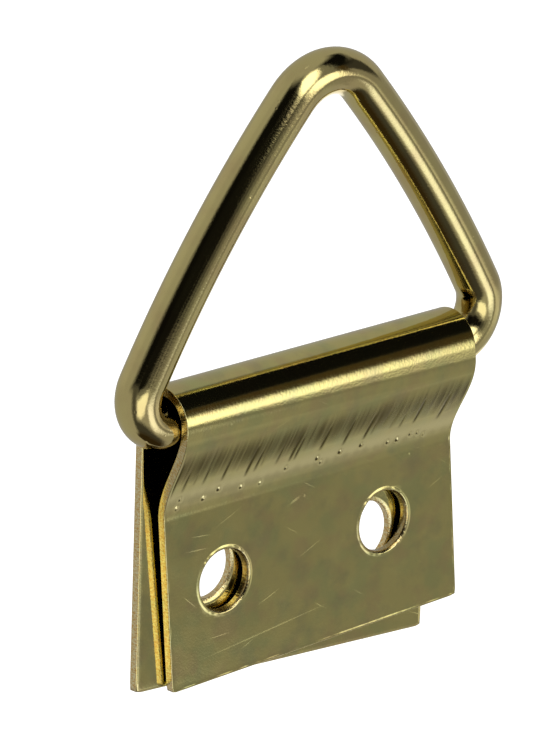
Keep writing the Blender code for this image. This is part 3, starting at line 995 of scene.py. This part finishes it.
TENT_RADIUS = 600 * MM
TENT_STEP = 1.5
TENT_LEVEL = 0.39
PLAIN, WARM, COOL = "#FFFFFF", "#FFD795", "#E9EEFF"
TENT_PATCHES = (
    # level, colour, width of its soft edge, and its corners as azimuth and elevation, all in degrees
    (0.45, PLAIN, 30, ((-180, 40), (-130, 50), (-130, 10), (-180, 0))),
    (0.29, PLAIN, 8, ((44, 4), (98, 4), (98, -9), (62, -17), (44, -10))),
    (0.68, PLAIN, 9, ((47, -15), (82, -18), (82, -27), (47, -24))),
    (0.23, PLAIN, 10, ((18, 62), (30, 62), (42, 6), (30, 12), (20, 20))),
    (0.05, PLAIN, 8, ((40, 30), (78, 34), (76, 1), (56, 1), (42, 10))),
    (0.005, PLAIN, 14, ((32, 62), (38, 22), (48, 22), (74, 34), (99, 46), (98, 58), (60, 62))),
    (0.06, WARM, 6, ((37, 24), (47, 24), (44, -2), (39, 0))),
    (0.005, PLAIN, 26, ((-88, 14), (-76, 64), (-24, 62), (-18, 26), (-17, 4), (-50, 2))),
    (0.008, PLAIN, 12, ((-50, 34), (-17, 34), (2, 11), (3, -4), (-20, 0), (-50, 4))),
    (0.09, PLAIN, 14, ((-76, 20), (-54, 16), (-53, -66), (-70, -66))),
    (0.20, PLAIN, 10, ((-44, 6), (-16, 5), (-10, -6), (-44, -6))),
    (0.06, PLAIN, 8, ((-1, 13), (11, 4), (14, -9), (-1, -7))),
    (0.15, PLAIN, 8, ((10, 5), (22, -6), (22, -17), (8, -11))),
    (0.27, PLAIN, 7, ((20, -5), (38, -18), (34, -24), (18, -17))),
    (2.2, PLAIN, 10, (
        (-18, 54), (-15, 36), (-9, 24), (2, 13), (15, 17), (18, 30), (19, 56), (0, 60)
    )),
    (2.1, PLAIN, 7, (
        (13, 7), (20, 15), (30, 12), (35, 9.5), (39.6, 2), (41.4, -7), (43, -14.4), (41, -16.4),
        (31, -10.5), (22, -2),
    )),
    (1.4, PLAIN, 10, (
        (-49, -11), (-30, -6), (-14, -5), (-4, -10), (-3, -18), (-10, -29), (-32, -39), (-47, -36)
    )),
    (0.06, PLAIN, 12, (
        (-66, -42), (-6, -38), (10, -40), (32, -50), (76, -54), (96, -58), (90, -70), (-60, -70)
    )),
    (1.2, PLAIN, 8, ((98, -36), (140, -16), (144, -36), (104, -58))),
    (1.8, COOL, 12, ((6, -24), (16, -21), (35, -23), (40, -28), (34, -36), (24, -42), (13, -37))),
    (0.285, PLAIN, 4, ((39, -18), (47, -18), (58, -36), (52, -40), (44, -30))),
    (0.26, PLAIN, 3, ((36.5, -17), (47, -18.5), (47, -23), (38, -22.6))),
    (0.23, PLAIN, 3, ((36.5, -17), (41, -17.5), (41, -23), (38, -22.6))),
    (0.30, PLAIN, 7, ((46, -29), (50, -27), (62, -39), (58, -44))),
    (0.29, PLAIN, 5, ((58, -41), (66, -45), (74, -48), (70, -51), (58, -47))),
    (0.42, PLAIN, 4, ((68, -45), (96, -47), (96, -54), (70, -53))),
    (0.035, WARM, 12, (
        (-105, -95), (-96, -70), (-60, -66), (-20, -64), (10, -64), (100, -62), (100, -95)
    )),
)


def tent_light(azimuth, elevation):
    """Colour of the light tent in each direction, by azimuth from the front and by elevation.

    The cloth has one level, and each patch of light or dark is laid over it in turn. A patch covers
    by a smooth step of the distance inside the nearest of its sides, in degrees.
    """
    light = np.full((*azimuth.shape, 3), TENT_LEVEL)
    for level, code, soft, corners in TENT_PATCHES:
        corners = np.array(corners, dtype=float)
        following = np.roll(corners, -1, axis=0)
        turn = np.sign(np.sum(corners[:, 0] * following[:, 1] - following[:, 0] * corners[:, 1]))
        inside = np.full(azimuth.shape, np.inf)
        for (left, low), (right, high) in zip(corners, following):
            across, up = right - left, high - low
            side = turn * (across * (elevation - low) - up * (azimuth - left)) / math.hypot(across, up)
            inside = np.minimum(inside, side)
        light += (level * np.array(linear(code)) - light) * smooth(inside / soft + 0.5)[..., None]
    return light


def add_tent():
    """Set a round light tent about the hanger, which only its reflections show.

    The tent is a sphere: azimuth runs round it and elevation up it, short of its two poles.
    """
    azimuth = np.arange(-180.0, 180.0, TENT_STEP)
    elevation = np.arange(-90.0 + TENT_STEP, 90.0, TENT_STEP)
    azimuth, elevation = np.meshgrid(azimuth, elevation)
    turn, rise = np.radians(azimuth), np.radians(elevation)
    grid = TENT_RADIUS * np.stack([
        np.sin(turn) * np.cos(rise), -np.cos(turn) * np.cos(rise), np.sin(rise)
    ], axis=-1) + np.array(BAR_AXIS)
    _, _, quads = closed_grid(turn.shape)
    tent = new_mesh("light_tent", grid.reshape(-1, 3), [quads])
    store(tent, "light", tent_light(azimuth, elevation).reshape(-1, 3))
    material = bpy.data.materials.new("lit_tent_cloth")
    tree = bare_tree(material)
    light = add_node(tree, "Attribute", attribute_name="light").outputs["Color"]
    glow = add_node(tree, "Emission", {"Color": light, "Strength": 1.0})
    add_node(tree, "OutputMaterial", {"Surface": glow})
    tent.data.materials.append(material)
    tent.visible_camera = tent.visible_diffuse = tent.visible_shadow = False
    tent.visible_transmission = tent.visible_volume_scatter = False


FLOOR_HALF = 1500 * MM
FLOOR_GLOW = 0.72


def add_floor(stage):
    """Lay a pale floor under the swinging ring, white to the camera but for the soft shadow."""
    level = cad_box[0].z - stage.floor_drop
    corners = FLOOR_HALF * np.array([[-1.0, -1.0], [1.0, -1.0], [1.0, 1.0], [-1.0, 1.0]])
    floor = new_mesh("floor", np.column_stack([corners, np.full(4, level)]), [np.array([[0, 1, 2, 3]])])
    material = bpy.data.materials.new("pale_painted_floor")
    tree = bare_tree(material)
    path = add_node(tree, "LightPath").outputs
    paint = add_node(tree, "BsdfDiffuse", {"Color": stage.floor})
    white = add_node(tree, "Emission", {"Strength": FLOOR_GLOW})
    seen = add_node(tree, "AddShader", {0: white, 1: paint})
    mix = add_node(tree, "MixShader", {0: path["Is Camera Ray"], 1: paint, 2: seen})
    add_node(tree, "OutputMaterial", {"Surface": mix})
    floor.data.materials.append(material)
    floor.visible_glossy = False


def add_world(stage):
    """Show white to the camera, to gloss and through glass, and light the rest evenly."""
    world = bpy.data.worlds.new("studio")
    tree = bare_tree(world)
    path = add_node(tree, "LightPath").outputs
    gloss = {0: path["Is Camera Ray"], 1: path["Is Glossy Ray"]}
    gloss = add_node(tree, "Math", gloss, operation="MAXIMUM")
    white = add_node(tree, "Math", {0: gloss, 1: path["Is Transmission Ray"]}, operation="MAXIMUM")
    strength = add_node(tree, "MapRange", {"Value": white, "To Min": stage.fill, "To Max": 1.0})
    glow = add_node(tree, "Background", {"Color": (1.0, 1.0, 1.0), "Strength": strength})
    add_node(tree, "OutputWorld", {"Surface": glow})
    bpy.context.scene.world = world


LAMP_DIRECTION = (0.3, -0.45, 1.0)


def add_lamp(stage):
    """Hang one broad soft lamp above the hanger, a little to its front and right."""
    data = bpy.data.lights.new("soft_lamp", "AREA")
    data.shape = "DISK"
    data.size = stage.lamp_size
    data.energy = stage.lamp_power
    lamp = bpy.data.objects.new("soft_lamp", data)
    place = Vector(LAMP_DIRECTION).normalized() * stage.lamp_distance
    lamp.matrix_world = Matrix.Translation(place) @ place.to_track_quat("Z", "Y").to_matrix().to_4x4()
    lamp.visible_glossy = False
    bpy.context.scene.collection.objects.link(lamp)


CLIP_SPAN = 100


def add_camera(stage):
    """Aim the camera at the bar from the photograph's side and height, and roll it slightly."""
    level = math.cos(stage.elevation)
    back = Vector((
        math.sin(stage.azimuth) * level, -math.cos(stage.azimuth) * level, math.sin(stage.elevation)
    ))
    right = (-back).cross(Vector((0, 0, 1))).normalized()
    up = right.cross(-back)
    turned_right = right * math.cos(stage.roll) + up * math.sin(stage.roll)
    turned_up = up * math.cos(stage.roll) - right * math.sin(stage.roll)
    aim = BAR_AXIS + Vector((stage.aim_x, 0.0, stage.aim_z))
    data = bpy.data.cameras.new("camera")
    data.lens = stage.lens
    data.clip_start, data.clip_end = stage.distance / CLIP_SPAN, stage.distance * CLIP_SPAN
    camera = bpy.data.objects.new("camera", data)
    turn = Matrix((turned_right, turned_up, back)).transposed().to_4x4()
    camera.matrix_world = Matrix.Translation(aim + back * stage.distance) @ turn
    bpy.context.scene.collection.objects.link(camera)
    bpy.context.scene.camera = camera


class HANGER_OT_stage(bpy.types.Operator):
    """Lay the floor and set up the lamps, the world and the camera"""

    bl_idname = "hanger.add_stage"
    bl_label = "Stage"

    def execute(self, context):
        stage = context.scene.hanger_stage
        context.scene.view_settings.view_transform = "Standard"
        add_camera(stage)
        add_world(stage)
        add_tent()
        add_floor(stage)
        add_lamp(stage)
        return {"FINISHED"}


class HANGER_PT_panel(bpy.types.Panel):
    """List the hanger's operators in the sidebar"""

    bl_idname = "HANGER_PT_panel"
    bl_label = "Picture Frame Hanger"
    bl_space_type = "VIEW_3D"
    bl_region_type = "UI"
    bl_category = "Hanger"

    def draw(self, context):
        for operator in OPERATORS:
            self.layout.operator(operator.bl_idname)
        for name in GROUPS:
            box = self.layout.box()
            group = getattr(context.scene, name)
            for key in group.bl_rna.properties.keys():
                if key not in ("rna_type", "name"):
                    box.prop(group, key)


GROUPS = {
    "hanger_strap": StrapSizes,
    "hanger_ring": RingSizes,
    "hanger_looks": PlatingLooks,
    "hanger_stage": StageSettings,
}
OPERATORS = (HANGER_OT_stage, HANGER_OT_strap, HANGER_OT_ring)
CLASSES = (*GROUPS.values(), *OPERATORS, HANGER_PT_panel)


def register():
    """Register the classes and hang the settings on the scene."""
    for item in CLASSES:
        bpy.utils.register_class(item)
    for name, group in GROUPS.items():
        setattr(bpy.types.Scene, name, PointerProperty(type=group))


def unregister():
    """Take the settings off the scene and unregister the classes."""
    for name in GROUPS:
        delattr(bpy.types.Scene, name)
    for item in reversed(CLASSES):
        bpy.utils.unregister_class(item)


def main():
    """Build the hanger on its stage."""
    register()
    bpy.ops.hanger.add_stage()
    bpy.ops.hanger.add_strap()
    bpy.ops.hanger.add_ring()


if __name__ == "__main__":
    main()
